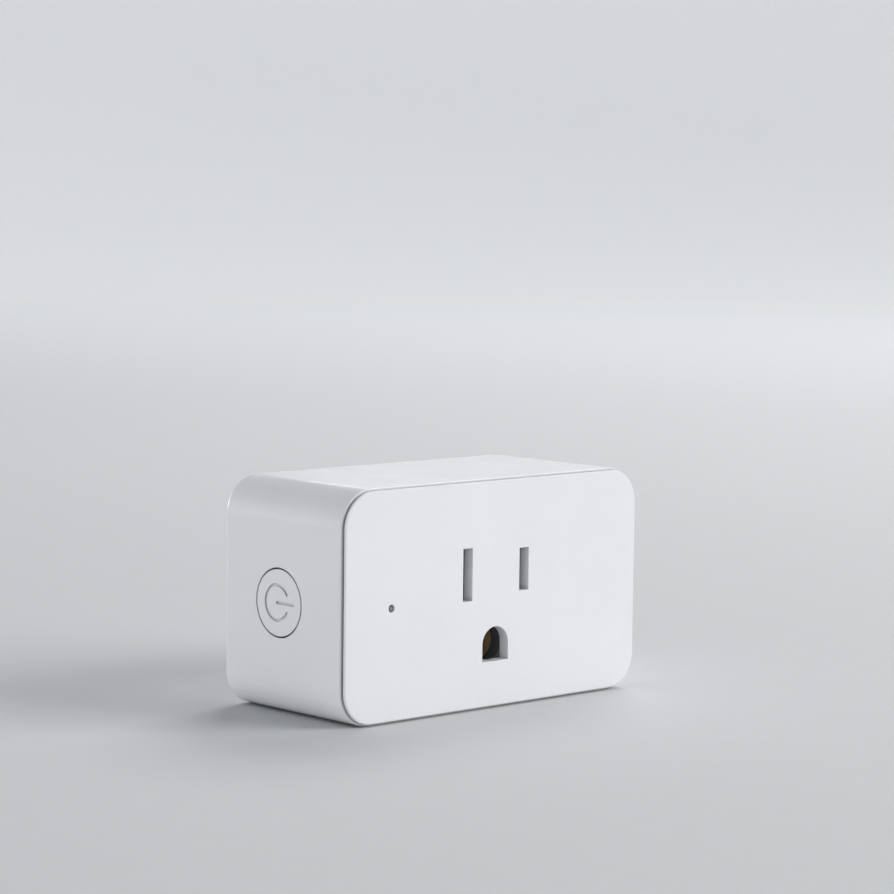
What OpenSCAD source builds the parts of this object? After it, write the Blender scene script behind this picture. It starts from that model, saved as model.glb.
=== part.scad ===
// Compact single-outlet smart plug. The origin is the centre of the rear face, which lies on the wall.
// X runs to the right as the outlet is faced, Z runs up, and the front faces -Y. Millimetres throughout.

/* [Body] */
// Width of the body, side to side
body_w = 66; // [56:0.5:84]
// Height of the body, less than the pitch of a duplex outlet
body_h = 38; // [34:0.5:44]
// Depth from the rear face to the front face
body_d = 29.6; // [28:0.1:36]
// Radius of the four long edges
corner_r = 6.1; // [3:0.1:9]
// Thickness of the moulded walls
wall = 2; // [1.6:0.1:2.4]

/* [Front cover] */
// How far the cover's outline stands inside the body's outline
cover_inset = 0.35; // [0.2:0.05:0.8]
// Height of the cover's visible edge
cover_edge = 0.35; // [0.3:0.05:0.8]
// Radius rolled onto the cover's front edge
cover_round = 0.3; // [0.1:0.05:0.3]
// Width of the shadow gap between the cover and the sleeve's rim
seam_gap = 0.4; // [0.2:0.05:0.8]
// Thickness of the front face around the outlet openings
face_t = 2; // [1.6:0.1:2.4]

/* [Outlet] */
// Height of the two blade slots above the body's centre
outlet_z = 3.6; // [2:0.1:4.5]
// Distance between the two blades
blade_pitch = 12.7; // [12.6:0.1:12.8]
// Distance from the blades down to the earth pin
earth_drop = 11.9; // [11.8:0.1:12]
// Width of each blade slot
slot_w = 2.1; // [1.9:0.1:2.4]
// Height of the neutral slot, on the left
neutral_slot = 8.7; // [8:0.1:9]
// Height of the hot slot, on the right
hot_slot = 7.1; // [6.8:0.1:7.4]
// Half width of the arched earth opening
arch_r = 2.9; // [2.6:0.05:3.1]
// Bore radius of the earth contact's barrel
earth_bore_r = 2.43; // [2.4:0.01:2.48]

/* [Prongs] */
// Thickness of a blade
blade_t = 1.52; // [1.4:0.02:1.65]
// Width of a blade
blade_w = 6.35; // [6.2:0.05:6.5]
// Length of a blade outside the rear face
blade_len = 17; // [15.9:0.1:18.2]
// Radius of the earth pin
pin_r = 2.38; // [2.3:0.01:2.45]
// Length of the earth pin outside the rear face
pin_len = 20.6; // [20:0.1:22]

/* [Button and light] */
// Distance of the button's axis in front of the rear face
button_back = 13.7; // [12:0.1:16]
// Radius of the button's cap
button_r = 5.42; // [4:0.02:6.5]
// Ring gap between the cap and its opening
button_gap = 0.3; // [0.3:0.05:0.5]
// How deep the power symbol is cut
symbol_cut = 0.3; // [0.1:0.05:0.4]
// Distance of the status light left of the body's centre
light_x = 22.9; // [22.5:0.1:23.2]
// Radius of the status light's opening
light_r = 0.65; // [0.6:0.05:1]
// Radius of the light pipe's tip, which shows in the middle of that opening
tip_r = 0.3; // [0.25:0.05:0.5]
// Height of the button and the light from the body's centre
controls_z = -0.35; // [-1:0.05:1]

/* [Relay] */
// Angle by which the released armature stands open
open_deg = 4; // [3:0.5:5]

/* [Hidden] */
$fn = 64;
half_w = body_w / 2;
half_h = body_h / 2;
front_y = -body_d;
disc_y = front_y + cover_edge;
rim_y = disc_y + seam_gap;
plate_y = front_y + face_t;
earth_z = outlet_z - earth_drop;
side_x = blade_pitch / 2;
button_y = -button_back;
// The power board stands parallel to the rear wall, on the prong holder.
board_back = -4.4;
board_front = -6;
board_l = -28.5;
board_r = 30.2;
board_top = 16.4;
// The control board stands at a right angle to it, beside the button.
ctrl_out = -25.8;
ctrl_in = -24.6;
// The contact carrier fills the middle, behind the outlet openings.
carrier_back = -12;
carrier_w = 22;
carrier_top = 9.6;
carrier_low = -12.4;
// Relay corner on the power board: the relay's own frame has X to the right, Y up and Z forwards.
relay_at = [11.3, board_front, -3.5];
relay_size = [15.5, 19, 15.3];
seat_z = 11.12;
hinge_y = 1.2;
screw_at = [[-22.7, 13.2], [-22.7, -13.2], [28.5, 12], [28.5, -12]];
bulk_at = [[-15.8, -11], [16.4, -10.4]];
bulk_r = 4;
bulk_front = -21;
ctrl_tabs = [-10, 0, 10];
lead_end = -3.4;
lead_r = 0.3;

// A front outline in X and Z, carried from y0 back to y1.
module along_y(y0, y1) {
  translate([0, y1, 0]) rotate([90, 0, 0]) linear_extrude(y1 - y0) children();
}

// A side outline in Y and Z, carried from x0 to x1.
module along_x(x0, x1) {
  translate([x0, 0, 0]) rotate([90, 0, 90]) linear_extrude(x1 - x0) children();
}

// A plan outline in X and Y, carried from z0 up to z1.
module along_z(z0, z1) {
  translate([0, 0, z0]) linear_extrude(z1 - z0) children();
}

module rod_y(r, y0, y1) {
  translate([0, y0, 0]) rotate([-90, 0, 0]) cylinder(r = r, h = y1 - y0);
}

module rod_x(r, x0, x1) {
  translate([x0, 0, 0]) rotate([0, 90, 0]) cylinder(r = r, h = x1 - x0);
}

module rod_z(r, z0, z1) {
  translate([0, 0, z0]) cylinder(r = r, h = z1 - z0);
}

// A block given by its two opposite corners.
module block(a, b) {
  translate(a) cube(b - a);
}

module round_rect(w, h, r) {
  square([w - 2 * r, h], center = true);
  square([w, h - 2 * r], center = true);
  for (sx = [-1, 1], sz = [-1, 1])
    translate([sx * (w / 2 - r), sz * (h / 2 - r)]) circle(r);
}

// Half of a slab's section: from the axis out to a, from y0 to y1, with its two outer edges rolled.
module half_section(a, y0, y1, front_round, rear_round) {
  translate([0, y0 + front_round]) square([a, y1 - y0 - front_round - rear_round]);
  if (front_round > 0) {
    translate([0, y0]) square([a - front_round, front_round]);
    translate([a - front_round, y0 + front_round]) intersection() {
      circle(front_round);
      translate([0, -front_round]) square(front_round);
    }
  }
  if (rear_round > 0) {
    translate([0, y1 - rear_round]) square([a - rear_round, rear_round]);
    translate([a - rear_round, y1 - rear_round]) intersection() {
      circle(rear_round);
      square(rear_round);
    }
  }
}

module full_section(a, y0, y1, front_round, rear_round) {
  half_section(a, y0, y1, front_round, rear_round);
  mirror([1, 0]) half_section(a, y0, y1, front_round, rear_round);
}

// Rounded-rectangle slab whose front and rear edges are rolled all the way round.
module soft_slab(w, h, r, y0, y1, front_round, rear_round) {
  along_z(-(h / 2 - r), h / 2 - r) full_section(w / 2, y0, y1, front_round, rear_round);
  along_x(-(w / 2 - r), w / 2 - r)
    mirror([1, -1]) full_section(h / 2, y0, y1, front_round, rear_round);
  for (sx = [-1, 1], sz = [-1, 1])
    translate([sx * (w / 2 - r), 0, sz * (h / 2 - r)])
      rotate([-90, 0, 0]) rotate_extrude() half_section(r, y0, y1, front_round, rear_round);
}

// ---------------------------------------------------------------- outside

// Bucket-shaped moulding: the sleeve and the rear wall in one, with a weld lip at its rim.
module housing() {
  color("white") {
    difference() {
      union() {
        soft_slab(body_w, body_h, corner_r, rim_y, 0, 0.25, 0.6);
        along_y(disc_y, rim_y + 1) round_rect(body_w - wall, body_h - wall, corner_r - wall / 2);
      }
      along_y(disc_y - 1, -wall)
        round_rect(body_w - 2 * wall, body_h - 2 * wall, corner_r - wall);
      translate([0, button_y, controls_z])
        rod_x(button_r + button_gap, -half_w - 1, -half_w + wall + 1);
      for (s = [-1, 1])
        translate([s * side_x, 0, outlet_z])
          along_y(-wall - 1, 1) square([blade_t + 0.3, blade_w + 0.3], center = true);
      translate([0, 0, earth_z]) rod_y(2.8, -wall - 1, 1);
      for (p = screw_at)
        translate([p[0], 0, p[1]]) rod_y(0.95, -wall - 1, -0.9);
    }
    for (p = screw_at)
      translate([p[0], 0, p[1]]) difference() {
        rod_y(1.9, board_back, -wall);
        rod_y(0.95, board_back - 1, -wall + 1);
      }
    // Guides that keep the button from turning.
    for (sy = [-1, 1], sz = [-1, 1])
      translate([-half_w + wall, button_y + sy * 2.5, controls_z + sz * 7.8])
        block([-0.1, -0.7, -0.9], [1.4, 0.7, 0.9]);
  }
}

module arch(r, low) {
  circle(r);
  translate([-r, -low]) square([2 * r, low]);
}

// Face plate with the three outlet openings, the light's opening and a spigot that enters the sleeve.
module front_cover() {
  spigot_w = body_w - 2 * wall - 0.3;
  spigot_h = body_h - 2 * wall - 0.3;
  spigot_r = corner_r - wall - 0.15;
  color("whitesmoke") difference() {
    union() {
      soft_slab(body_w - 2 * cover_inset, body_h - 2 * cover_inset, corner_r - cover_inset,
                front_y, disc_y, cover_round, 0);
      along_y(disc_y - 0.04, plate_y + 0.8) round_rect(spigot_w, spigot_h, spigot_r);
    }
    difference() {
      along_y(plate_y, plate_y + 3) round_rect(spigot_w - 2.4, spigot_h - 2.4, spigot_r - 1.2);
      // Collar that locates the light pipe's flange.
      translate([-light_x, 0, controls_z]) rod_y(2.6, plate_y - 1, plate_y + 0.8);
    }
    translate([-side_x, 0, outlet_z])
      along_y(front_y - 1, plate_y + 1) square([slot_w, neutral_slot], center = true);
    translate([side_x, 0, outlet_z])
      along_y(front_y - 1, plate_y + 1) square([slot_w, hot_slot], center = true);
    translate([0, 0, earth_z]) along_y(front_y - 1, plate_y + 1) arch(arch_r, 2.8);
    translate([-light_x, 0, controls_z]) {
      rod_y(light_r, front_y - 1, plate_y + 1);
      rod_y(1.9, plate_y, plate_y + 1);
    }
  }
}

// Round cap, flush with the side wall, with a retaining flange, two ears and a centre boss.
module power_button() {
  mark_y = 0.45;
  mark_r = 2.85;
  gap_deg = 31;
  color("white") translate([0, button_y, controls_z]) difference() {
    union() {
      rod_x(button_r, -half_w, -half_w + wall + 0.1);
      rod_x(6.6, -30.95, -30.25);
      block([-30.95, -1.5, -8.2], [-30.25, 1.5, 8.2]);
      rod_x(2, -30.3, -30.1);
    }
    // Open ring and bar of the generic on and off symbol, opening towards the front.
    translate([0, mark_y, 0]) {
      difference() {
        rod_x(mark_r + 0.25, -half_w - 1, -half_w + symbol_cut);
        rod_x(mark_r - 0.25, -half_w - 2, -half_w + 1);
        along_x(-half_w - 2, -half_w + 1)
          polygon([[0, 0], [-6, -6 * tan(gap_deg)], [-6, 6 * tan(gap_deg)]]);
      }
      for (s = [-1, 1])
        translate([0, -mark_r * cos(gap_deg), s * mark_r * sin(gap_deg)])
          rod_x(0.25, -half_w - 1, -half_w + symbol_cut);
      block([-half_w - 1, -4.1, -0.25], [-half_w + symbol_cut, 0, 0.25]);
      for (y = [-4.1, 0])
        translate([0, y, 0]) rod_x(0.25, -half_w - 1, -half_w + symbol_cut);
    }
  }
}

module light_pipe() {
  color("lightblue") translate([-light_x, 0, controls_z]) {
    rod_y(tip_r, front_y + 0.15, plate_y + 0.1);
    rod_y(1.75, plate_y, plate_y + 0.8);
    rod_y(1.2, plate_y + 0.7, -24.6);
  }
}

// ---------------------------------------------------------------- prongs

// Insulating plate that clamps the blades' shoulders and the earth pin's flange to the rear wall.
module prong_holder() {
  color("dimgray") difference() {
    block([-11.5, board_back, -12.5], [11.5, -wall, 8.3]);
    for (s = [-1, 1]) translate([s * side_x, 0, outlet_z]) {
      along_y(-3.2, 0) square([blade_t + 0.2, 8.2], center = true);
      along_y(board_back - 1, 0) square([blade_t + 0.2, 3.4], center = true);
    }
    translate([0, 0, earth_z]) {
      rod_y(3.7, -3.2, 0);
      rod_y(2.15, board_back - 1, 0);
    }
  }
}

// Flat blade: rounded and thinned at its tip, with a shoulder inside and a solder tail.
module blade(x) {
  tip = 0.45;
  color("gold") translate([x, 0, outlet_z]) {
    intersection() {
      along_x(-blade_t / 2, blade_t / 2) {
        translate([-wall, -blade_w / 2]) square([blade_len + wall - 1.2, blade_w]);
        translate([-wall, 1.2 - blade_w / 2]) square([blade_len + wall, blade_w - 2.4]);
        for (s = [-1, 1])
          translate([blade_len - 1.2, s * (blade_w / 2 - 1.2)]) circle(1.2);
      }
      along_z(-blade_w, blade_w)
        polygon([[-blade_t / 2, -wall], [blade_t / 2, -wall], [blade_t / 2, blade_len - 1.6],
                 [blade_t / 2 - tip, blade_len], [tip - blade_t / 2, blade_len],
                 [-blade_t / 2, blade_len - 1.6]]);
    }
    block([-blade_t / 2, -3.2, -4], [blade_t / 2, -wall, 4]);
    block([-blade_t / 2, -8, -1.6], [blade_t / 2, -3.2, 1.6]);
  }
}

module hot_blade() {
  blade(side_x);
}

module neutral_blade() {
  blade(-side_x);
}

// Round pin with a domed tip, a shoulder in the rear wall, a flange and a riveted inner end.
module earth_pin() {
  nose = 1.6;
  color("gold") translate([0, 0, earth_z]) {
    rotate([-90, 0, 0]) rotate_extrude() {
      square([pin_r, pin_len - nose]);
      square([pin_r - nose, pin_len]);
      translate([pin_r - nose, pin_len - nose]) intersection() {
        circle(nose);
        square(nose);
      }
    }
    rod_y(2.7, -wall, 0);
    rod_y(3.6, -3.2, -wall);
    rod_y(2, -7, -3.2);
    rod_y(1.2, -7.9, -7);
    rod_y(1.9, -8.5, -7.85);
  }
}

// ---------------------------------------------------------------- outlet

// Moulded block behind the front cover: one cell for each contact, and four feet on the board.
module contact_carrier() {
  color("ivory") difference() {
    union() {
      block([-carrier_w / 2, plate_y, carrier_low], [carrier_w / 2, carrier_back, carrier_top]);
      for (sx = [-1, 1], z = [carrier_low, carrier_top - 2])
        translate([sx * (carrier_w / 2 - 0.9), 0, z])
          block([-0.9, carrier_back - 1, 0], [0.9, board_front, 2]);
    }
    for (s = [-1, 1])
      translate([s * side_x, 0, outlet_z])
        block([-2.4, plate_y - 1, -4.75], [2.4, carrier_back + 1, 4.75]);
    translate([0, 0, earth_z]) rod_y(3.2, plate_y - 1, carrier_back + 1);
    block([-2.3, carrier_back - 1, -13], [2.3, board_front + 1, earth_z]);
  }
}

// One half of a blade contact's spring: a flared mouth, a pinching throat and a straight root.
module leaf_outline() {
  polygon([[2.05, -11.4], [2.05, -14.2], [1, -21.5], [2.1, -25.6], [1.6, -25.75],
           [0.5, -21.5], [1.55, -14.2], [1.55, -11.4]]);
}

// Double-wipe contact: two leaves rise from a base plate, and its tail is soldered to the board.
module blade_contact(x) {
  color("goldenrod") translate([x, 0, 0]) {
    along_z(outlet_z - 3, outlet_z + 3) {
      leaf_outline();
      mirror([1, 0]) leaf_outline();
    }
    block([-2.8, carrier_back, -0.6], [2.8, carrier_back + 0.6, 10.6]);
    block([-0.4, carrier_back + 0.5, 9], [0.4, lead_end, 10.6]);
  }
}

module hot_contact() {
  blade_contact(side_x);
}

module neutral_contact() {
  blade_contact(-side_x);
}

// Rolled barrel that grips an earth pin, with a slit along its top and a foot riveted to the rear pin.
module earth_contact() {
  wall_t = 0.5;
  mouth = -25.5;
  end = -9.8;
  color("goldenrod") translate([0, 0, earth_z]) difference() {
    union() {
      rod_y(earth_bore_r + wall_t, mouth, end);
      block([-2, carrier_back, -earth_bore_r - wall_t], [2, -7, -earth_bore_r]);
      block([-2.6, -7.8, -earth_bore_r - wall_t], [2.6, -7, 2.6]);
    }
    rod_y(earth_bore_r, mouth - 1, end + 1);
    // Lead-in cone at the mouth.
    translate([0, mouth - 0.01, 0]) rotate([-90, 0, 0])
      cylinder(r1 = earth_bore_r + 0.4, r2 = earth_bore_r, h = 1);
    block([-0.4, mouth - 1, 0], [0.4, end + 1, 4]);
    rod_y(1.25, -8, -6);
  }
}

// ---------------------------------------------------------------- boards

module at_board(p) {
  translate([p[0], 0, p[1]]) children();
}

module board_hole(x, z, r) {
  translate([x, 0, z]) rod_y(r, board_front - 1, board_back + 1);
}

module board_slot(x, z, w, h) {
  translate([x, 0, z])
    along_y(board_front - 1, board_back + 1) square([w, h], center = true);
}

module power_board() {
  color("seagreen") difference() {
    along_y(board_front, board_back)
      translate([(board_l + board_r) / 2, 0]) round_rect(board_r - board_l, 2 * board_top, 3.2);
    for (s = [-1, 1]) {
      board_slot(s * side_x, outlet_z, blade_t + 0.4, 3.6);
      board_slot(s * side_x, 9.8, 1.2, 2);
    }
    board_hole(0, earth_z, 2.5);
    for (p = screw_at) board_hole(p[0], p[1], 1.1);
    for (z = ctrl_tabs) board_slot((ctrl_out + ctrl_in) / 2, z, 1.5, 4.3);
    for (p = bulk_at, s = [-1, 1]) board_hole(p[0], p[1] + s * 1.75, 0.5);
    for (s = [-1, 1]) {
      board_hole(s * 5, 13.8, 0.5);
      board_hole(-15.8, -2.5 + s, 0.5);
      board_hole(-15.8, 8.2 + s * 2.5, 0.5);
      board_hole(2 + s * 7.4, -14.6, 0.5);
      board_hole(24.4, -9 + s * 2.3, 0.5);
      board_hole(24 + s * 3.4, -14.7, 0.45);
      board_hole(relay_at[0] + 7.75 + s * 5.85, relay_at[2] + 2.6, 0.55);
    }
    board_slot(relay_at[0] + 7.75, relay_at[2] + 1.75, 1.3, 1.4);
    board_slot(relay_at[0] + 7.75, relay_at[2] + 13.4, 1.3, 0.8);
    board_slot(relay_at[0] + 7.75, relay_at[2] + 17.7, 1.3, 0.8);
  }
}

// Upright board for the radio, the button's switch and the light, tabbed into the power board.
module control_board() {
  color("darkgreen") {
    block([ctrl_out, -26.4, -15], [ctrl_in, board_front, 15]);
    for (z = ctrl_tabs) block([ctrl_out, board_front - 0.1, z - 2], [ctrl_in, -3.9, z + 2]);
  }
}

module board_screws() {
  color("silver") for (p = screw_at) at_board(p) difference() {
    union() {
      rod_y(1.6, board_front - 1.2, board_front);
      rod_y(0.9, board_front - 0.1, -1.2);
    }
    // Cross recess.
    for (a = [0, 90])
      rotate([0, a, 0]) block([-0.9, board_front - 2, -0.2], [0.9, board_front - 0.6, 0.2]);
  }
}

module wifi_board() {
  color("midnightblue") difference() {
    block([ctrl_in, -22, -8], [ctrl_in + 0.8, -8.6, 8]);
    // Half holes along both edges, where the module is soldered down.
    for (z = [-8, 8], y = [-17:2:-9])
      translate([0, y, z]) rod_x(0.45, ctrl_in - 1, ctrl_in + 2);
  }
}

module wifi_shield() {
  color("silver") difference() {
    block([ctrl_in + 0.8, -18, -6.9], [ctrl_in + 2.9, -9.2, 6.9]);
    block([ctrl_in + 0.7, -17.8, -6.7], [ctrl_in + 2.7, -9.4, 6.7]);
  }
}

module status_led() {
  color("white") {
    block([ctrl_in, -24.3, -1.6], [ctrl_in + 2.6, -23, 1.6]);
    translate([-light_x, 0, controls_z]) rod_y(0.9, -24.5, -24.2);
  }
}

// Sheet that keeps the mains parts away from the radio board.
module insulation_sheet() {
  color("wheat") block([-20.9, -26.4, -14], [-20.5, board_front, 14]);
}

// ---------------------------------------------------------------- tact switch

module switch_base() {
  color("black") translate([0, button_y, controls_z]) difference() {
    block([-28.9, -3, -3], [-26, 3, 3]);
    rod_x(2.6, -30, -27.4);
  }
}

module switch_cover() {
  color("silver") translate([0, button_y, controls_z]) difference() {
    block([-29.2, -3, -3], [-28.9, 3, 3]);
    rod_x(2.05, -30, -28);
  }
}

// Snap dome: a shallow sprung cap standing on the floor of the base.
module switch_dome() {
  rise = 0.55;
  span = 2.4;
  ball = (span * span + rise * rise) / (2 * rise);
  t = 0.1;
  color("silver") translate([-27.4, button_y, controls_z]) rotate([0, -90, 0]) difference() {
    translate([0, 0, rise - ball]) difference() {
      sphere(r = ball, $fn = 96);
      sphere(r = ball - t, $fn = 96);
    }
    translate([0, 0, -2 * ball]) cube([4 * ball, 4 * ball, 4 * ball], center = true);
  }
}

module switch_plunger() {
  color("dimgray") translate([0, button_y, controls_z]) {
    rod_x(1.7, -30.1, -28.5);
    rod_x(2.25, -28.85, -28.3);
    rod_x(0.8, -28.4, -27.97);
  }
}

module switch_terminals() {
  color("silver") translate([0, button_y, controls_z])
    for (sy = [-1, 1], sz = [-1, 1])
      translate([0, sy * 2.25, sz * 2.7]) block([-26, -0.35, -1.7], [ctrl_out, 0.35, 1.7]);
}

// ---------------------------------------------------------------- relay

module in_relay() {
  translate(relay_at) rotate([90, 0, 0]) children();
}

// Poses what is drawn with the armature shut so that it stands open on its hinge.
module on_armature() {
  in_relay() translate([0, hinge_y, seat_z]) rotate([open_deg, 0, 0])
    translate([0, -hinge_y, -seat_z]) children();
}

module relay_base() {
  color("black") in_relay() difference() {
    block([0.75, 0.75, 0], [14.75, 18.25, 1.6]);
    for (s = [-1, 1]) translate([7.75 + s * 5.85, 2.6, 0]) rod_z(0.45, -1, 3);
    block([7.2, 1.1, -1], [8.3, 2.4, 3]);
    block([7.2, 13.15, -1], [8.3, 13.65, 3]);
    block([7.2, 17.45, -1], [8.3, 17.95, 3]);
  }
}

module relay_case() {
  color("steelblue") in_relay() difference() {
    block([0, 0, 0], relay_size);
    block([0.7, 0.7, -1], relay_size - [0.7, 0.7, 0.7]);
    translate([12.8, 16.2, 0]) rod_z(0.6, 14, 16);
  }
}

module relay_bobbin() {
  color("ivory") in_relay() translate([7.75, 7, 0]) difference() {
    union() {
      block([-4.8, -4.5, 2.6], [4.8, 4.5, 3.3]);
      rod_z(2.6, 2.6, 10.6);
      block([-4.8, -4.5, 9.9], [4.8, 4.5, 10.6]);
    }
    rod_z(1.7, 2, 11);
  }
}

module relay_coil() {
  color("chocolate") in_relay() translate([7.75, 7, 0]) difference() {
    rod_z(4.4, 3.35, 9.85);
    rod_z(2.65, 3, 10);
  }
}

module relay_core() {
  color("gray") in_relay() translate([7.75, 7, 0]) {
    rod_z(1.6, 1.6, 10.7);
    rod_z(2.9, 10.6, 11.1);
  }
}

// L-shaped iron frame: its foot holds the core, its upright carries the armature, its tab is a terminal.
module relay_yoke() {
  color("gray") in_relay() difference() {
    union() {
      block([3.75, hinge_y, 1.6], [11.75, 11, 2.6]);
      block([3.75, hinge_y, 1.6], [11.75, 2.3, 11.1]);
      block([7.3, hinge_y, -2.6], [8.2, 2.3, 1.7]);
    }
    translate([7.75, 7, 0]) rod_z(1.65, 1, 3);
  }
}

module relay_hinge_spring() {
  color("goldenrod") in_relay() {
    block([5.75, 0.9, 5], [9.75, hinge_y, 12.7]);
    block([5.75, 0.9, 12.5], [9.75, 3.4, 12.7]);
    block([6.75, 2.7, 12.3], [8.75, 3.1, 12.55]);
  }
}

module relay_armature() {
  color("gray") on_armature() block([3.95, hinge_y + 0.1, seat_z], [11.55, 12.3, seat_z + 1]);
}

module relay_contact_leaf() {
  color("goldenrod") on_armature() difference() {
    block([5.25, 4, seat_z + 1], [10.25, 17.1, seat_z + 1.2]);
    translate([7.75, 15.6, 0]) rod_z(0.75, seat_z, seat_z + 3);
  }
}

module relay_contact_rivet() {
  color("silver") on_armature() translate([7.75, 15.6, 0]) {
    rod_z(1.2, 10.34, seat_z + 1);
    rod_z(0.7, seat_z + 0.9, seat_z + 1.3);
    rod_z(1.1, seat_z + 1.2, seat_z + 1.5);
  }
}

module relay_fixed_contact() {
  color("goldenrod") in_relay() {
    block([7.3, 13.2, -2.6], [8.2, 13.6, 1.7]);
    block([6.25, 13.2, 1.6], [9.25, 13.6, 9.8]);
    block([6.25, 13.2, 9.4], [9.25, 17.1, 9.8]);
    translate([7.75, 15.6, 0]) rod_z(1.25, 9.7, 10.32);
  }
}

module relay_backstop() {
  color("goldenrod") in_relay() {
    block([7.3, 17.5, -2.6], [8.2, 17.9, 1.7]);
    block([6.25, 17.5, 1.6], [9.25, 17.9, 14.2]);
    block([6.25, 14.6, 13.8], [9.25, 17.9, 14.2]);
  }
}

module relay_coil_pins() {
  color("silver") in_relay()
    for (s = [-1, 1]) translate([7.75 + s * 5.85, 2.6, 0]) rod_z(0.4, -2.6, 3);
}

// ---------------------------------------------------------------- power parts

// Electrolytic can with a crimp groove near its seal and two leads.
module can(r, front, pitch) {
  rotate([-90, 0, 0]) rotate_extrude() difference() {
    translate([0, front]) square([r, board_front - 0.2 - front]);
    translate([r + 0.25, board_front - 2]) circle(0.5);
  }
  for (s = [-1, 1]) translate([0, 0, s * pitch / 2]) rod_y(lead_r, board_front - 0.5, lead_end);
}

module bulk_capacitors() {
  color("darkslategray") for (p = bulk_at) at_board(p) can(bulk_r, bulk_front, 3.5);
}

module output_capacitor() {
  color("darkslategray") at_board([-15.8, -2.5]) can(2.5, -14.5, 2);
}

module film_capacitor() {
  color("gold") {
    block([-6.5, -16, 11.3], [6.5, board_front - 0.1, 16.3]);
    for (s = [-1, 1])
      translate([s * 5, 0, 13.8]) rod_y(lead_r, board_front - 0.5, lead_end);
  }
}

module varistor() {
  color("royalblue") translate([-15.8, 0, 8.2]) {
    translate([0, -11.2, 0]) rod_x(4.5, -1.8, 1.8);
    for (s = [-1, 1]) translate([0, 0, s * 2.5]) rod_y(lead_r, -9, lead_end);
  }
}

// Tubular fuse with end caps, lying on the board, with its leads bent through it.
module fuse() {
  color("lightgray") translate([2, board_front - 1.9, -14.6]) {
    rod_x(1.5, -5, 5);
    for (s = [-1, 1]) {
      translate([s * 4.2, 0, 0]) rod_x(1.7, -1, 1);
      translate([s * 6.3, 0, 0]) rod_x(lead_r, -1.4, 1.4);
      translate([s * 7.4, 0, 0]) rod_y(lead_r, -0.3, lead_end - board_front + 1.9);
    }
  }
}

module inductor_core() {
  color("dimgray") translate([24.4, 0, -9]) {
    rod_y(3.2, -14, -13);
    rod_y(1.6, -13.1, board_front - 1.1);
    rod_y(3.2, board_front - 1.2, board_front - 0.2);
    for (s = [-1, 1])
      translate([0, 0, s * 2.3]) rod_y(lead_r, board_front - 0.5, lead_end);
  }
}

module inductor_winding() {
  color("chocolate") translate([24.4, 0, -9]) difference() {
    rod_y(2.9, -12.95, board_front - 1.25);
    rod_y(1.65, -13.5, board_front);
  }
}

// Small surface-mounted chip: body centred on a board position, with two rows of gull-wing legs.
module chip(w, h, t, rows) {
  block([-w / 2, board_front - t, -h / 2], [w / 2, board_front - 0.1, h / 2]);
  for (s = [-1, 1], i = [0 : rows - 1])
    translate([(i - (rows - 1) / 2) * w / rows, 0, s * (h / 2 + 0.4)])
      block([-0.2, board_front - 0.5, -0.6], [0.2, board_front, 0.6]);
}

module bridge_rectifier() {
  color("black") at_board([0, 6.6]) chip(4.7, 3.9, 2.4, 2);
}

module converter_chip() {
  color("black") at_board([0, -1.4]) chip(4.9, 3.9, 1.5, 4);
}

module relay_diode() {
  color("black") translate([24, board_front - 1.3, -14.7]) {
    rod_x(1.2, -2, 2);
    for (s = [-1, 1]) {
      translate([s * 2.7, 0, 0]) rod_x(lead_r, -0.9, 0.9);
      translate([s * 3.4, 0, 0]) rod_y(lead_r, -0.3, lead_end - board_front + 1.3);
    }
  }
}

housing();
front_cover();
power_button();
light_pipe();
prong_holder();
hot_blade();
neutral_blade();
earth_pin();
contact_carrier();
hot_contact();
neutral_contact();
earth_contact();
power_board();
control_board();
board_screws();
wifi_board();
wifi_shield();
status_led();
insulation_sheet();
switch_base();
switch_cover();
switch_dome();
switch_plunger();
switch_terminals();
relay_base();
relay_case();
relay_bobbin();
relay_coil();
relay_core();
relay_yoke();
relay_hinge_spring();
relay_armature();
relay_contact_leaf();
relay_contact_rivet();
relay_fixed_contact();
relay_backstop();
relay_coil_pins();
bulk_capacitors();
film_capacitor();
output_capacitor();
varistor();
fuse();
inductor_core();
inductor_winding();
bridge_rectifier();
converter_chip();
relay_diode();
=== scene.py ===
import math

import bmesh
import bpy
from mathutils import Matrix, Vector


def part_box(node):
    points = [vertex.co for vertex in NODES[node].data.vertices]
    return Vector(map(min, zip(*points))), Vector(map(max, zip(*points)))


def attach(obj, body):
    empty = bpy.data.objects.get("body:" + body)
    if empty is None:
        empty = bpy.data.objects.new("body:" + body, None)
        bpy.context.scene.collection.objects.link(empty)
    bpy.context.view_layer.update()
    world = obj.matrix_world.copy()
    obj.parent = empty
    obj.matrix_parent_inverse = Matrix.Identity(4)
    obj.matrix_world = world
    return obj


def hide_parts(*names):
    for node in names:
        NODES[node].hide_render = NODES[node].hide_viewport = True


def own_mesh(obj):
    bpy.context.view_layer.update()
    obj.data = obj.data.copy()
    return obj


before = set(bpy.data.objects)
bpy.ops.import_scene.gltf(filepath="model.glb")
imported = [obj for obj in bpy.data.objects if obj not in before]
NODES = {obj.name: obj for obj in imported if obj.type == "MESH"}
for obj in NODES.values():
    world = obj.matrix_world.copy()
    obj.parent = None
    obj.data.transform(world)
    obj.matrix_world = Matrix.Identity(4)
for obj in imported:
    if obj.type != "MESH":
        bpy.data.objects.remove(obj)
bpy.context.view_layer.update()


# ------------------------------------------------------------------ shader helpers

# A Wave texture at scale 1 repeats every pi / 10, so this makes its waves about one unit apart.
WAVE_SCALE = 1 / 3.1416
PLASTIC_IOR = 1.5


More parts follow.
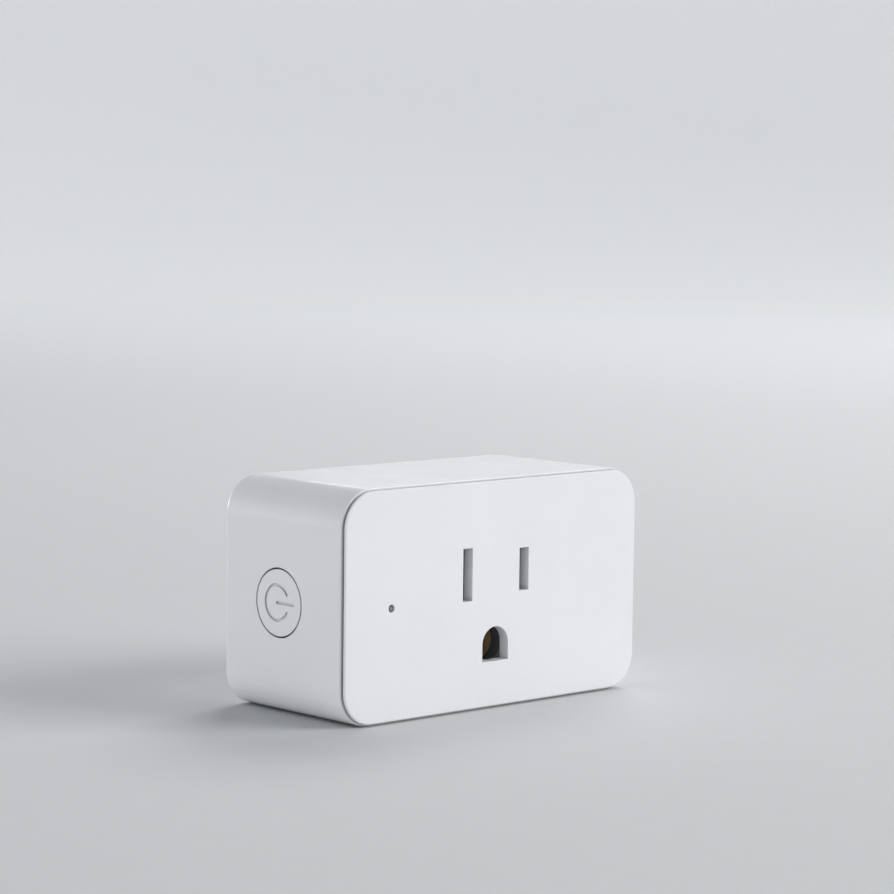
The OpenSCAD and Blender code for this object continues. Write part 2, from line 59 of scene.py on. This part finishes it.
class Shader:
    """A small wrapper that builds one procedural Principled material."""

    def __init__(self, name, **values):
        self.mat = bpy.data.materials.new(name)
        self.mat.use_nodes = True
        self.tree = self.mat.node_tree
        self.bsdf = self.tree.nodes["Principled BSDF"]
        for key, value in values.items():
            self.bsdf.inputs[key.replace("_", " ")].default_value = value
        self.coord = self.tree.nodes.new("ShaderNodeTexCoord").outputs["Object"]

    def put(self, kind, links=None, values=None, **props):
        """Adds one node with its links, socket values and properties."""
        n = self.tree.nodes.new(kind)
        for key, value in props.items():
            setattr(n, key, value)
        for key, value in (values or {}).items():
            n.inputs[key].default_value = value
        for key, value in (links or {}).items():
            self.tree.links.new(value, n.inputs[key])
        return n

    def stretched(self, scale):
        """Object coordinates multiplied axis by axis, so that grain can run one way."""
        return self.put("ShaderNodeMapping", {"Vector": self.coord},
                        {"Scale": scale}).outputs["Vector"]

    def noise(self, size, detail=2.0, rough=0.5, vector=None, distortion=0.0):
        """Noise whose features are about size metres across. Its value runs from 0 to 1."""
        n = self.put("ShaderNodeTexNoise", {"Vector": vector or self.coord},
                     {"Scale": 1 / size, "Detail": detail, "Roughness": rough,
                      "Distortion": distortion})
        return n.outputs["Fac"]

    def cells(self, size):
        """Distance to the nearest of scattered points that are about size metres apart."""
        return self.put("ShaderNodeTexVoronoi", {"Vector": self.coord}, {"Scale": 1 / size},
                        feature="F1").outputs["Distance"]

    def band(self, size, axis):
        """Parallel waves, about size metres apart along one axis."""
        n = self.put("ShaderNodeTexWave", {"Vector": self.coord},
                     {"Scale": WAVE_SCALE / size, "Detail": 1.0}, bands_direction=axis)
        return n.outputs["Fac"]

    def math(self, op, a, b=None):
        """A Math node. Each operand is a number or another node's output."""
        n = self.put("ShaderNodeMath", operation=op)
        for i, v in enumerate((a, b)):
            if v is None:
                continue
            if isinstance(v, (int, float)):
                n.inputs[i].default_value = v
            else:
                self.tree.links.new(v, n.inputs[i])
        return n.outputs[0]

    def ramp(self, value, lo, hi, out_lo=0.0, out_hi=1.0, smooth=False):
        """value carried from lo..hi to out_lo..out_hi, and held at either end."""
        n = self.put("ShaderNodeMapRange", {"Value": value},
                     {"From Min": lo, "From Max": hi, "To Min": out_lo, "To Max": out_hi},
                     clamp=True, interpolation_type="SMOOTHSTEP" if smooth else "LINEAR")
        return n.outputs["Result"]

    def openness(self, reach):
        """1 on an open surface, falling towards 0 in gaps and corners narrower than reach."""
        return self.put("ShaderNodeAmbientOcclusion", values={"Distance": reach},
                        samples=2).outputs["AO"]

    def mix(self, fac, a, b):
        """Colour a where fac is 0 and colour b where it is 1."""
        n = self.put("ShaderNodeMix", data_type="RGBA")
        for socket, v in ((n.inputs["Factor"], fac), (n.inputs["A"], a), (n.inputs["B"], b)):
            if isinstance(v, tuple):
                socket.default_value = (*v, 1.0)
            else:
                self.tree.links.new(v, socket)
        return next(o for o in n.outputs if o.type == "RGBA")

    def axis(self, vector, name):
        """One component of a vector."""
        return self.put("ShaderNodeSeparateXYZ", {"Vector": vector}).outputs[name]

    def normal(self, name):
        """One component of the surface normal in the object's own space."""
        n = self.put("ShaderNodeTexCoord").outputs["Normal"]
        return self.axis(n, name)

    def bump(self, height, distance, onto=None):
        """The normal of a surface raised by height times distance metres, on top of onto."""
        links = {"Height": height}
        if onto is not None:
            links["Normal"] = onto
        return self.put("ShaderNodeBump", links, {"Distance": distance}).outputs["Normal"]

    def set(self, **sockets):
        """Links node outputs to the shader's sockets and gives the material."""
        for key, value in sockets.items():
            self.tree.links.new(value, self.bsdf.inputs[key.replace("_", " ")])
        return self.mat


def shade(base, amount):
    """A colour made lighter or darker."""
    return tuple(min(1.0, c * amount) for c in base)


# ------------------------------------------------------------------ outside plastics

DRIFT, CLOUD, PEEL, SHADE_MOTTLE = 0.022, 0.009, 0.0016, 0.0011  # sizes of the slow patterns
GAP_REACH = 0.0009  # a gap or corner narrower than this gets painted shade


def moulded(name, base, rough, grain, depth, peel=0.0, tint=0.97, painted_shade=None):
    """Moulded plastic: spark-eroded grain of that size and depth, and faint colour drift.
    peel is the depth of its slow orange peel; the last argument is the colour of the shade
    painted into its gaps and corners."""
    s = Shader(name, IOR=PLASTIC_IOR)
    drift = s.noise(DRIFT, 3, 0.6)
    colour = s.mix(s.ramp(drift, 0.3, 0.7), base, shade(base, tint))
    if painted_shade:
        # Painted shade: the colour is darkened, patchily, in gaps and corners that the occlusion
        # node finds.
        shade_mottle = s.ramp(s.noise(SHADE_MOTTLE, 3, 0.6), 0.3, 0.7, 0.85, 1.0)
        shade_mask = s.ramp(s.openness(GAP_REACH), 0.1, 0.75, 1.0, 0.0, smooth=True)
        colour = s.mix(s.math("MULTIPLY", shade_mask, shade_mottle), colour, painted_shade)
    fine = s.noise(grain, 2, 0.55)
    cloud = s.noise(CLOUD, 3, 0.5)
    gloss = s.math("ADD", s.ramp(fine, 0.25, 0.75, rough - 0.03, rough + 0.03),
                   s.ramp(cloud, 0.3, 0.75, -0.008, 0.016))
    n = s.bump(fine, depth)
    if peel:
        n = s.bump(s.noise(PEEL, 2, 0.4), peel, onto=n)
    return s.set(Base_Color=colour, Roughness=gloss, Normal=n)


# ------------------------------------------------------------------ inside materials

def metal(name, base, rough, along, brush=0.00004, stain=0.9):
    """Metal with grain that runs along one axis, and slightly duller patches."""
    s = Shader(name, Metallic=1.0)
    stretch = tuple(0.04 if a == along else 1.0 for a in "XYZ")
    grain = s.noise(brush, 3, 0.6, s.stretched(stretch))
    patch = s.noise(0.003, 4, 0.6)
    colour = s.mix(s.ramp(patch, 0.35, 0.7), base, shade(base, stain))
    r = s.math("ADD", s.ramp(grain, 0.2, 0.8, rough - 0.07, rough + 0.09),
               s.ramp(patch, 0.3, 0.8, 0.0, 0.08))
    return s.set(Base_Color=colour, Roughness=r, Normal=s.bump(grain, 0.000003))


BLOCKS = 150.0  # regions per metre in which the tracks run one way or the other


def laminate(name, mask, edge, face, pitch=0.0016):
    """Printed board: solder mask over raised copper tracks, with a bare glass-fibre edge.
    face is the axis across the board, and pitch the distance between tracks."""
    s = Shader(name, IOR=PLASTIC_IOR, Coat_Weight=0.5, Coat_Roughness=0.12)
    across, along = [a for a in "XYZ" if a != face]
    block = s.put("ShaderNodeTexVoronoi", {"Vector": s.coord}, {"Scale": BLOCKS},
                  feature="F1", distance="CHEBYCHEV")
    which = s.math("GREATER_THAN", s.axis(block.outputs["Color"], "X"), 0.5)
    lines = [s.ramp(s.band(pitch, a), 0.55, 0.62) for a in (across, along)]
    tracks = s.math("ADD", s.math("MULTIPLY", which, lines[0]),
                    s.math("MULTIPLY", s.math("SUBTRACT", 1.0, which), lines[1]))
    pour = s.ramp(s.axis(block.outputs["Color"], "Z"), 0.7, 0.72)
    copper = s.math("MAXIMUM", tracks, pour)
    green = s.mix(copper, shade(mask, 0.7), shade(mask, 1.35))
    fibre = s.noise(0.0003, 2, 0.5, s.stretched((1.0, 0.25, 1.0)))
    raw = s.mix(fibre, edge, shade(edge, 0.7))
    side = s.math("LESS_THAN", s.math("ABSOLUTE", s.normal(face)), 0.5)
    colour = s.mix(side, green, raw)
    r = s.ramp(side, 0, 1, 0.3, 0.8)
    return s.set(Base_Color=colour, Roughness=r, Normal=s.bump(copper, 0.00003))


def wound(name, base, pitch, axis):
    """Enamelled wire in close turns, pitch metres apart along one axis."""
    s = Shader(name, Metallic=0.85, Coat_Weight=0.8, Coat_Roughness=0.15)
    turns = s.band(pitch, axis)
    layer = s.noise(0.0012, 2, 0.5)
    # Painted shade: the colour darkens in the grooves between turns, where the bands are low.
    colour = s.mix(s.ramp(turns, 0.0, 0.45), shade(base, 0.35),
                   s.mix(layer, base, shade(base, 1.35)))
    return s.set(Base_Color=colour, Roughness=s.ramp(layer, 0.2, 0.8, 0.22, 0.38),
                 Normal=s.bump(turns, pitch * 0.45))


def fibrous(name, base):
    """Pressed insulating paper."""
    s = Shader(name, IOR=1.45)
    strands = s.noise(0.00022, 5, 0.7, s.stretched((1.0, 0.3, 1.0)), distortion=0.6)
    blotch = s.noise(0.004, 3, 0.6)
    colour = s.mix(s.ramp(strands, 0.3, 0.7), shade(base, 0.78),
                   s.mix(blotch, base, shade(base, 1.12)))
    return s.set(Base_Color=colour, Roughness=s.ramp(strands, 0.2, 0.8, 0.7, 0.92),
                 Normal=s.bump(strands, 0.00003))


def sintered(name, base, grain):
    """Pressed magnetic powder: pitted and matte."""
    s = Shader(name, IOR=1.6, Metallic=0.2)
    pits = s.cells(grain)
    cloud = s.noise(grain * 8, 3, 0.6)
    colour = s.mix(s.ramp(pits, 0.1, 0.7), shade(base, 1.3), s.mix(cloud, base, shade(base, 0.7)))
    return s.set(Base_Color=colour, Roughness=s.ramp(cloud, 0.3, 0.7, 0.55, 0.78),
                 Normal=s.bump(pits, 0.00002))


def two_tone(name, first, second, test, rough, metallic):
    """Two finishes on one node. test(shader) gives 0 for the first and 1 for the second, and
    rough and metallic hold a value for each."""
    s = Shader(name, IOR=PLASTIC_IOR)
    which = test(s)
    fine = s.noise(0.00015, 2, 0.55)
    cloud = s.noise(0.002, 3, 0.6)
    a = s.mix(cloud, first, shade(first, 0.8))
    b = s.mix(cloud, second, shade(second, 0.85))
    r = s.math("ADD", s.ramp(which, 0, 1, *rough), s.ramp(fine, 0.2, 0.8, -0.05, 0.07))
    return s.set(Base_Color=s.mix(which, a, b), Metallic=s.ramp(which, 0, 1, *metallic),
                 Roughness=r, Normal=s.bump(fine, 0.000006))


def beyond(axis, limit):
    """A test for two_tone: 1 where the coordinate is above the limit."""
    def test(s):
        return s.math("GREATER_THAN", s.axis(s.coord, axis), limit)
    return test


def outside(axis, lo, hi):
    """A test for two_tone: 1 where the coordinate is below lo or above hi."""
    def test(s):
        c = s.axis(s.coord, axis)
        return s.math("MAXIMUM", s.math("LESS_THAN", c, lo), s.math("GREATER_THAN", c, hi))
    return test


def ends(node, axis, length):
    """A test for two_tone: 1 within that length of either end of the node along the axis."""
    lo, hi = (getattr(corner, axis.lower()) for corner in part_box(node))
    return outside(axis, lo + length, hi - length)


LID_DEPTH = 0.0008  # how far behind a can's front end its bare top still counts as the top


def can(name, sleeve, top_y, board_y):
    """Electrolytic capacitor: sleeve with a plain pale stripe, bare can top, tinned leads."""
    s = Shader(name, IOR=PLASTIC_IOR)
    y = s.axis(s.coord, "Y")
    lid = s.math("MULTIPLY", s.math("LESS_THAN", y, top_y + LID_DEPTH),
                 s.math("LESS_THAN", s.normal("Y"), -0.6))
    lead = s.math("GREATER_THAN", y, board_y)
    bare = s.math("MAXIMUM", lid, lead)
    stripe = s.math("GREATER_THAN", s.normal("X"), 0.92)
    cloud = s.noise(0.0015, 3, 0.6)
    coat = s.mix(stripe, s.mix(cloud, sleeve, shade(sleeve, 0.7)), (0.42, 0.45, 0.5))
    grain = s.noise(0.00005, 2, 0.6, s.stretched((1.0, 1.0, 0.05)))
    colour = s.mix(bare, coat, s.mix(grain, (0.72, 0.72, 0.73), (0.6, 0.6, 0.61)))
    r = s.math("ADD", s.ramp(bare, 0, 1, 0.27, 0.3), s.ramp(cloud, 0.2, 0.8, -0.05, 0.07))
    return s.set(Base_Color=colour, Metallic=bare, Roughness=r,
                 Normal=s.bump(s.math("MULTIPLY", grain, bare), 0.000004))


def clear(name, tint, rough):
    """Clear moulded plastic with slightly frosted faces."""
    s = Shader(name, IOR=1.49, Transmission_Weight=0.75)
    haze = s.noise(0.0002, 2, 0.5)
    return s.set(Base_Color=s.mix(haze, tint, shade(tint, 0.93)),
                 Roughness=s.ramp(haze, 0.2, 0.8, rough - 0.05, rough + 0.08),
                 Normal=s.bump(haze, 0.000004))


# Colour of the shade painted into the gaps and corners of the white plastics.
CREVICE_SHADE = (0.3, 0.3, 0.305)
BODY_WHITE = (0.778, 0.784, 0.811)
EPOXY = (0.02, 0.02, 0.022)
LEADS = (0.72, 0.72, 0.7)
BOARD_GREEN, BOARD_EDGE = (0.02, 0.13, 0.055), (0.5, 0.45, 0.25)
# How much of each end of these parts is metal caps and leads.
FUSE_METAL, CHIP_METAL, DIODE_METAL = 0.0045, 0.001, 0.0017
LED_METAL = 0.0004  # the gilt part at the light source's upper end

board_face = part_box("power_board")[0].y

LOOKS = {
    "front_cover": moulded("cover_matte_white", (0.803, 0.806, 0.832), 0.47, 0.00032, 0.000026,
                           painted_shade=CREVICE_SHADE),
    "housing": moulded("sleeve_satin_white", BODY_WHITE, 0.21, 0.0002, 0.000002,
                       peel=0.000003, painted_shade=CREVICE_SHADE),
    "power_button": moulded("button_satin_white", BODY_WHITE, 0.24, 0.0002, 0.000002,
                            peel=0.000003, painted_shade=CREVICE_SHADE),
    "light_pipe": clear("pipe_frosted_clear", (0.85, 0.88, 0.9), 0.22),
    "prong_holder": moulded("holder_black_glass_filled", (0.035, 0.035, 0.038), 0.5, 0.0003,
                            0.00002, tint=0.8),
    "contact_carrier": moulded("carrier_dark_grey", (0.1, 0.1, 0.105), 0.5, 0.0003, 0.000014,
                               tint=0.85),
    "board_screws": metal("screw_zinc", (0.66, 0.66, 0.68), 0.34, "Z", stain=0.8),
    "power_board": laminate("board_green", BOARD_GREEN, BOARD_EDGE, "Y"),
    "control_board": laminate("board_green_side", BOARD_GREEN, BOARD_EDGE, "X", 0.0012),
    "wifi_board": laminate("module_blue", (0.012, 0.03, 0.12), (0.35, 0.32, 0.2), "X", 0.0008),
    "wifi_shield": metal("shield_tinned", (0.74, 0.74, 0.72), 0.3, "Z", stain=0.82),
    "status_led": two_tone("led_body", (0.8, 0.8, 0.76), (0.62, 0.5, 0.12),
                           beyond("Z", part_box("status_led")[1].z - LED_METAL), (0.3, 0.12),
                           (0.0, 0.0)),
    "insulation_sheet": fibrous("fish_paper", (0.5, 0.42, 0.24)),
    "switch_base": moulded("switch_black", (0.03, 0.03, 0.033), 0.42, 0.0002, 0.000008, tint=0.8),
    "switch_cover": metal("switch_steel", (0.64, 0.64, 0.64), 0.28, "Z"),
    "switch_dome": metal("dome_spring_steel", (0.7, 0.69, 0.66), 0.2, "Y"),
    "switch_plunger": moulded("plunger_black", (0.025, 0.025, 0.028), 0.36, 0.0002, 0.000006,
                              tint=0.85),
    "relay_base": moulded("relay_base_black", (0.03, 0.03, 0.032), 0.42, 0.00025, 0.00001,
                          tint=0.8),
    "relay_case": moulded("relay_blue", (0.02, 0.1, 0.36), 0.3, 0.00025, 0.000006, tint=0.85),
    "relay_bobbin": moulded("bobbin_natural", (0.7, 0.67, 0.55), 0.4, 0.00025, 0.000008,
                            tint=0.92),
    "relay_coil": wound("coil_enamel", (0.62, 0.24, 0.08), 0.00014, "Y"),
    "inductor_winding": wound("inductor_enamel", (0.58, 0.25, 0.09), 0.00035, "Y"),
    "inductor_core": sintered("ferrite", (0.06, 0.06, 0.062), 0.0002),
    "film_capacitor": two_tone("film_box_yellow", (0.72, 0.5, 0.03), LEADS,
                               beyond("Y", board_face), (0.32, 0.28), (0.0, 1.0)),
    "varistor": two_tone("varistor_blue", (0.02, 0.13, 0.42), (0.7, 0.7, 0.68),
                         beyond("Y", board_face), (0.25, 0.28), (0.0, 1.0)),
    "fuse": two_tone("fuse_ceramic", (0.74, 0.72, 0.66), (0.72, 0.71, 0.68),
                     ends("fuse", "X", FUSE_METAL), (0.5, 0.25), (0.0, 1.0)),
    "bridge_rectifier": two_tone("rectifier_epoxy", EPOXY, LEADS,
                                 ends("bridge_rectifier", "Z", CHIP_METAL), (0.42, 0.28),
                                 (0.0, 1.0)),
    "converter_chip": two_tone("chip_epoxy", (0.022, 0.022, 0.024), LEADS,
                               ends("converter_chip", "Z", CHIP_METAL), (0.46, 0.28), (0.0, 1.0)),
    "relay_diode": two_tone("diode_epoxy", EPOXY, LEADS, ends("relay_diode", "X", DIODE_METAL),
                            (0.4, 0.28), (0.0, 1.0)),
    "bulk_capacitors": can("bulk_sleeve", (0.012, 0.03, 0.1),
                           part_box("bulk_capacitors")[0].y, board_face),
    "output_capacitor": can("output_sleeve", (0.02, 0.02, 0.025),
                            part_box("output_capacitor")[0].y, board_face),
}
NICKEL = metal("plated_brass", (0.75, 0.73, 0.69), 0.24, "Y", brush=0.00006, stain=0.95)
BRASS = metal("contact_brass", (0.62, 0.5, 0.31), 0.34, "Y", stain=0.8)
IRON = metal("soft_iron", (0.52, 0.52, 0.51), 0.38, "Y", stain=0.8)
SILVER = metal("contact_silver", (0.86, 0.85, 0.82), 0.18, "X")
TINNED = metal("tinned_wire", (0.74, 0.74, 0.73), 0.28, "Y")
for group, look in (
    (("hot_blade", "neutral_blade", "earth_pin"), NICKEL),
    (("hot_contact", "neutral_contact", "earth_contact", "relay_contact_leaf",
      "relay_hinge_spring", "relay_fixed_contact", "relay_backstop"), BRASS),
    (("relay_core", "relay_yoke", "relay_armature"), IRON),
    (("relay_contact_rivet",), SILVER),
    (("relay_coil_pins", "switch_terminals"), TINNED),
):
    for member in group:
        LOOKS[member] = look

for node_name, look in LOOKS.items():
    mesh = NODES[node_name].data
    if not mesh.materials:
        mesh.materials.append(look)
    for i in range(len(mesh.materials)):
        NODES[node_name].material_slots[i].material = look


# ------------------------------------------------------------------ softened edges

def soften(name, width, angle=38, segments=3):
    """A small moulded radius on every sharp edge of a CAD node, added as modifiers only."""
    o = NODES[name]
    weld = o.modifiers.new("weld", "WELD")
    weld.merge_threshold = 0.000002
    bevel = o.modifiers.new("edge_radius", "BEVEL")
    bevel.width = width
    bevel.segments = segments
    bevel.limit_method = "ANGLE"
    bevel.angle_limit = math.radians(angle)
    bevel.use_clamp_overlap = True
    bevel.harden_normals = True


for node_name, width in (("front_cover", 0.00012), ("housing", 0.0001), ("power_button", 0.0001),
                         ("hot_blade", 0.00015), ("neutral_blade", 0.00015)):
    soften(node_name, width)


# ------------------------------------------------------------------ snap dome

def snap_dome():
    """A piece of the dome's own shape that stands for its CAD node, on the plug's body."""
    o = bpy.data.objects.new("snap_dome", NODES["switch_dome"].data.copy())
    bpy.context.scene.collection.objects.link(o)
    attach(o, "plug")
    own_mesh(o)
    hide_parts("switch_dome")
    return o


# ------------------------------------------------------------------ stage, lights, camera

GLOW = 0.33  # how strongly the far part of the floor shines, for an even pale background
FLAT, BEND, RISE = 1.4, 1.1, 3.2  # the floor's flat radius, the radius of its curve, its top
TURNS = 96


def sweep_floor():
    """A round floor that curves up into a far pale wall, so no horizon line shows."""
    bm = bmesh.new()
    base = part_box("housing")[0].z
    profile = [(FLAT * k / 6, base) for k in range(1, 7)]
    for degrees in range(6, 91, 6):
        a = math.radians(degrees)
        profile.append((FLAT + BEND * math.sin(a), base + BEND * (1 - math.cos(a))))
    profile.append((FLAT + BEND, base + RISE))
    rings = []
    for r, z in profile:
        rings.append([bm.verts.new((r * math.cos(2 * math.pi * k / TURNS),
                                    r * math.sin(2 * math.pi * k / TURNS), z))
                      for k in range(TURNS)])
    centre = bm.verts.new((0, 0, base))
    for k in range(TURNS):
        after = (k + 1) % TURNS
        bm.faces.new((centre, rings[0][k], rings[0][after]))
        for a, b in zip(rings, rings[1:]):
            bm.faces.new((a[k], b[k], b[after], a[after]))
    mesh = bpy.data.meshes.new("floor")
    bm.to_mesh(mesh)
    bm.free()
    for f in mesh.polygons:
        f.use_smooth = True
    o = bpy.data.objects.new("floor", mesh)
    bpy.context.scene.collection.objects.link(o)
    s = Shader("pale_floor", Roughness=0.85, Specular_IOR_Level=0.0,
               Emission_Color=(0.97, 0.985, 1.0, 1.0))
    soft = s.noise(0.004, 3, 0.5)
    height = s.axis(s.coord, "Z")
    reach = s.put("ShaderNodeVectorMath", {0: s.coord}, operation="LENGTH").outputs["Value"]
    glow = s.math("MULTIPLY", s.ramp(reach, 0.5, 1.6, 0.0, GLOW, smooth=True),
                  s.ramp(height, 0.5, 0.9, 1.0, 0.0))
    mesh.materials.append(s.set(Base_Color=s.mix(soft, (0.73, 0.74, 0.75), (0.71, 0.72, 0.73)),
                                Emission_Strength=glow))


part_only = bpy.data.collections.new("part_only")
for lit in (*NODES.values(), snap_dome()):
    part_only.objects.link(lit)


def softbox(name, place, target, size, power, tint=(1.0, 1.0, 1.0), mirrored=True, floor=False):
    """An area lamp. mirrored=False keeps it out of reflections; floor=False spares the floor."""
    lamp = bpy.data.lights.new(name, "AREA")
    lamp.shape = "RECTANGLE"
    lamp.size, lamp.size_y = size
    lamp.energy = power
    lamp.color = tint
    o = bpy.data.objects.new(name, lamp)
    o.location = place
    o.rotation_euler = (Vector(target) - Vector(place)).to_track_quat("-Z", "Y").to_euler()
    o.visible_camera = False
    o.visible_glossy = mirrored
    if not floor:
        o.light_linking.receiver_collection = part_only
    bpy.context.scene.collection.objects.link(o)


sweep_floor()
softbox("key", (0.9, -1.2, 0.66), (0.01, -0.03, 0), (1.0, 1.0), 17.8, (1.0, 0.995, 0.985),
        mirrored=False, floor=True)
softbox("side", (-0.6, -0.14, 0.055), (0, -0.01, -0.008), (0.5, 0.12), 0.6, (0.98, 0.99, 1.0))
softbox("fill", (-0.42, 0.48, 0.04), (-0.03, -0.01, 0), (0.3, 0.1), 0.8, mirrored=False)
softbox("top", (0.8, 0.42, 0.96), (0, -0.01, 0), (0.67, 0.67), 6.0, floor=True)
softbox("rim", (0.54, 0.48, 0.22), (0, -0.01, 0), (0.25, 0.06), 0.15)
softbox("back", (0.0, 0.7, 0.08), (0, 0, 0), (0.3, 0.16), 1.4)

world = bpy.data.worlds.new("studio")
world.use_nodes = True
sky = world.node_tree.nodes["Background"]
sky.inputs["Color"].default_value = (0.93, 0.96, 1.0, 1.0)
sky.inputs["Strength"].default_value = 0.27
bpy.context.scene.world = world
bpy.context.scene.view_settings.view_transform = "Standard"

# The camera stands in front of the plug, to its left and a little above it.
lens = bpy.data.cameras.new("camera")
lens.lens = 123.94
lens.sensor_width = 36.0
lens.clip_start, lens.clip_end = 0.01, 20.0
camera = bpy.data.objects.new("camera", lens)
camera.location = (-0.3457, -0.3908, 0.0725)
camera.rotation_euler = [math.radians(a) for a in (84.464, -0.664, -42.728)]
bpy.context.scene.collection.objects.link(camera)
bpy.context.scene.camera = camera
